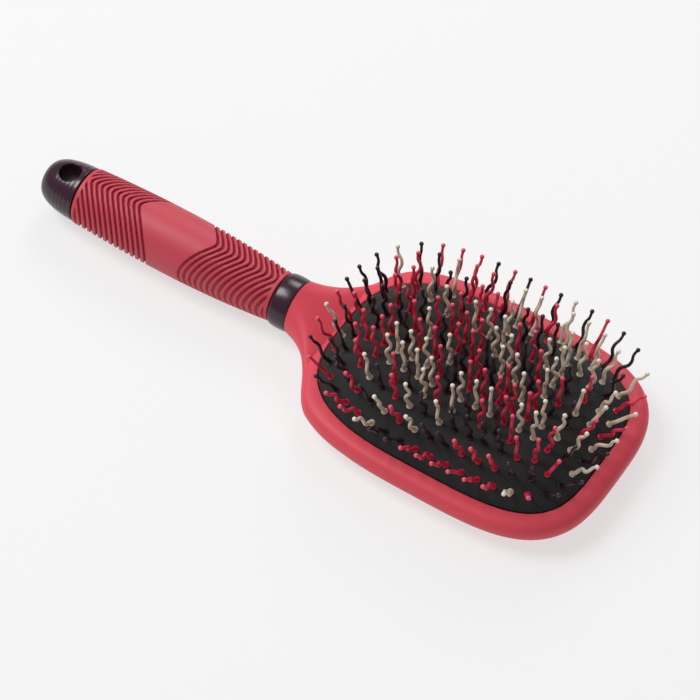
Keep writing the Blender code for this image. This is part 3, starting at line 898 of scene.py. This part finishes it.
def relief(nodes, links, shader, height, depth):
    """Fine relief on the shader from a height, with a depth in metres."""
    bump = nodes.new("ShaderNodeBump")
    bump.inputs["Distance"].default_value = depth
    links.new(height, bump.inputs["Height"])
    links.new(bump.outputs["Normal"], shader.inputs["Normal"])


def finish(nodes, links, shader, place, size, detail, smoothest, roughest, reflection, depth):
    """A grain that changes the roughness from place to place and stands in faint relief."""
    grain = noise(nodes, links, place, size, detail)
    spread = nodes.new("ShaderNodeMapRange")
    spread.inputs["To Min"].default_value = smoothest
    spread.inputs["To Max"].default_value = roughest
    links.new(grain, spread.inputs["Value"])
    links.new(spread.outputs["Result"], shader.inputs["Roughness"])
    shader.inputs["Specular IOR Level"].default_value = reflection
    relief(nodes, links, shader, grain, depth)


def clouded_plastic(name, colour, paler, values):
    """Moulded plastic, with slow changes of shade."""
    material, nodes, links, shader, place = new_material(name, colour)
    cloud = noise(nodes, links, place, CLOUD_SIZE, CLOUD_DETAIL)
    links.new(mixed(nodes, links, cloud, colour, paler), shader.inputs["Base Color"])
    finish(nodes, links, shader, place, *values)
    return material


def coral_plastic():
    """Soft satin plastic with a faint grain."""
    return clouded_plastic("Coral_Plastic", CORAL, CORAL_PALE, CORAL_FINISH)


def plum_plastic():
    """Hard gloss plastic, nearly black, with a trace of handling on it."""
    return clouded_plastic("Plum_Plastic", PLUM, PLUM_PALE, PLUM_FINISH)


def grip_rubber():
    """Matt rubber with a fine tooth, with painted shade down in the grooves: the colour is darkened by the
    depth of the groove.
    """
    material, nodes, links, shader, place = new_material("Grip_Rubber", RED_RIB)
    # Painted shade: the colour is mixed towards the dark groove colour by the depth of the groove.
    depth = attribute(nodes, GROOVE_SHADE_ATTRIBUTE)
    links.new(mixed(nodes, links, depth, RED_RIB, RED_GROOVE_PAINTED_SHADE), shader.inputs["Base Color"])
    finish(nodes, links, shader, place, *GRIP_FINISH)
    return material


def weave(nodes, links, place):
    """The height of a plain weave: two sets of threads that cross over and under each other."""
    turned = nodes.new("ShaderNodeMapping")
    turned.inputs["Rotation"].default_value = (0, 0, THREAD_ANGLE)
    links.new(place, turned.inputs["Vector"])
    product = nodes.new("ShaderNodeMath")
    product.operation = "MULTIPLY"
    for direction, factor in zip(("X", "Y"), product.inputs):
        wave = nodes.new("ShaderNodeTexWave")
        wave.wave_type = "BANDS"
        wave.bands_direction = direction
        wave.inputs["Scale"].default_value = WAVE_PERIOD / THREAD_PITCH
        wave.inputs["Distortion"].default_value = THREAD_WANDER
        wave.inputs["Detail"].default_value = 1
        links.new(turned.outputs["Vector"], wave.inputs["Vector"])
        links.new(wave.outputs["Fac"], factor)
    return product.outputs["Value"]


def cushion_cloth():
    """Black woven cloth on rubber."""
    material, nodes, links, shader, place = new_material("Cushion_Cloth", CLOTH)
    threads = weave(nodes, links, place)
    links.new(mixed(nodes, links, threads, CLOTH, CLOTH_PALE), shader.inputs["Base Color"])
    shader.inputs["Roughness"].default_value = CLOTH_ROUGHNESS
    shader.inputs["Specular IOR Level"].default_value = CLOTH_REFLECTION
    shader.inputs["Sheen Weight"].default_value = CLOTH_SHEEN
    shader.inputs["Sheen Roughness"].default_value = CLOTH_SHEEN_ROUGHNESS
    relief(nodes, links, shader, threads, CLOTH_RELIEF)
    return material


def pin_nylon(name, foot_colour, tip_colour, ball_colour):
    """Smooth nylon, paler towards the thin tip, where light comes through it, and palest in the ball."""
    material, nodes, links, shader, place = new_material(name, foot_colour)
    along = attribute(nodes, ALONG_ATTRIBUTE)
    in_ball = nodes.new("ShaderNodeMapRange")
    in_ball.inputs["From Min"].default_value = BALL_SHARE
    links.new(along, in_ball.inputs["Value"])
    shaft_colour = mixed(nodes, links, along, foot_colour, tip_colour)
    colour = mixed(nodes, links, in_ball.outputs["Result"], shaft_colour, ball_colour)
    links.new(colour, shader.inputs["Base Color"])
    finish(nodes, links, shader, place, *NYLON_FINISH)
    return material


# ---------------------------------------------------------------- the studio


def add_floor():
    """Plain pale paper under the brush, out past every view."""
    mesh = bpy.data.meshes.new("Floor")
    corners = [(x * FLOOR_HALF, y * FLOOR_HALF, 0) for x, y in ((-1, -1), (1, -1), (1, 1), (-1, 1))]
    mesh.from_pydata(corners, [], [(0, 1, 2, 3)])
    floor = bpy.data.objects.new("Floor", mesh)
    bpy.context.scene.collection.objects.link(floor)
    material, _, _, shader, _ = new_material("Floor_Paper", PAPER)
    shader.inputs["Roughness"].default_value = PAPER_ROUGHNESS
    shader.inputs["Specular IOR Level"].default_value = PAPER_REFLECTION
    shader.inputs["Emission Color"].default_value = (*WHITE, 1)
    shader.inputs["Emission Strength"].default_value = PAPER_GLOW
    mesh.materials.append(material)


def direction(azimuth, elevation):
    """The way from the brush to something at an azimuth, measured from -Y towards +X, and an elevation."""
    level = math.cos(elevation)
    return Vector((math.sin(azimuth) * level, -math.cos(azimuth) * level, math.sin(elevation)))


def add_area(name, azimuth, elevation, distance, size, power):
    """A soft square light that shines at the brush."""
    away = direction(math.radians(azimuth), math.radians(elevation))
    light = bpy.data.lights.new(name, "AREA")
    light.size = size
    light.energy = power
    lamp = bpy.data.objects.new(name, light)
    lamp.location = away * distance
    lamp.rotation_mode = "QUATERNION"
    lamp.rotation_quaternion = (-away).to_track_quat("-Z", "Y")
    bpy.context.scene.collection.objects.link(lamp)


def add_world():
    """Even white light from all round."""
    world = bpy.data.worlds.new("Studio")
    world.use_nodes = True
    background = world.node_tree.nodes["Background"]
    background.inputs["Color"].default_value = (*WHITE, 1)
    background.inputs["Strength"].default_value = SKY_STRENGTH
    bpy.context.scene.world = world


def add_camera():
    """A long lens, high over the brush, from its -Y side and somewhat from its far end."""
    data = bpy.data.cameras.new("Camera")
    data.sensor_width = CAMERA_SENSOR
    data.lens = CAMERA_LENS
    camera = bpy.data.objects.new("Camera", data)
    back = direction(CAMERA_AZIMUTH, CAMERA_ELEVATION)
    camera.location = CAMERA_AIM + back * CAMERA_DISTANCE
    camera.rotation_mode = "QUATERNION"
    camera.rotation_quaternion = (-back).to_track_quat("-Z", "Y") @ Quaternion((0, 0, 1), CAMERA_ROLL)
    bpy.context.scene.collection.objects.link(camera)
    bpy.context.scene.camera = camera


add_camera()
add_floor()
add_world()
for name, values in LIGHTS.items():
    add_area(name, *values)
bpy.context.scene.view_settings.view_transform = "Standard"

plum = plum_plastic()
head(coral_plastic())
grip(grip_rubber())
ring(plum)
cap(plum)
pins({letter: pin_nylon(*values) for letter, values in NYLONS.items()})
cushion(cushion_cloth())
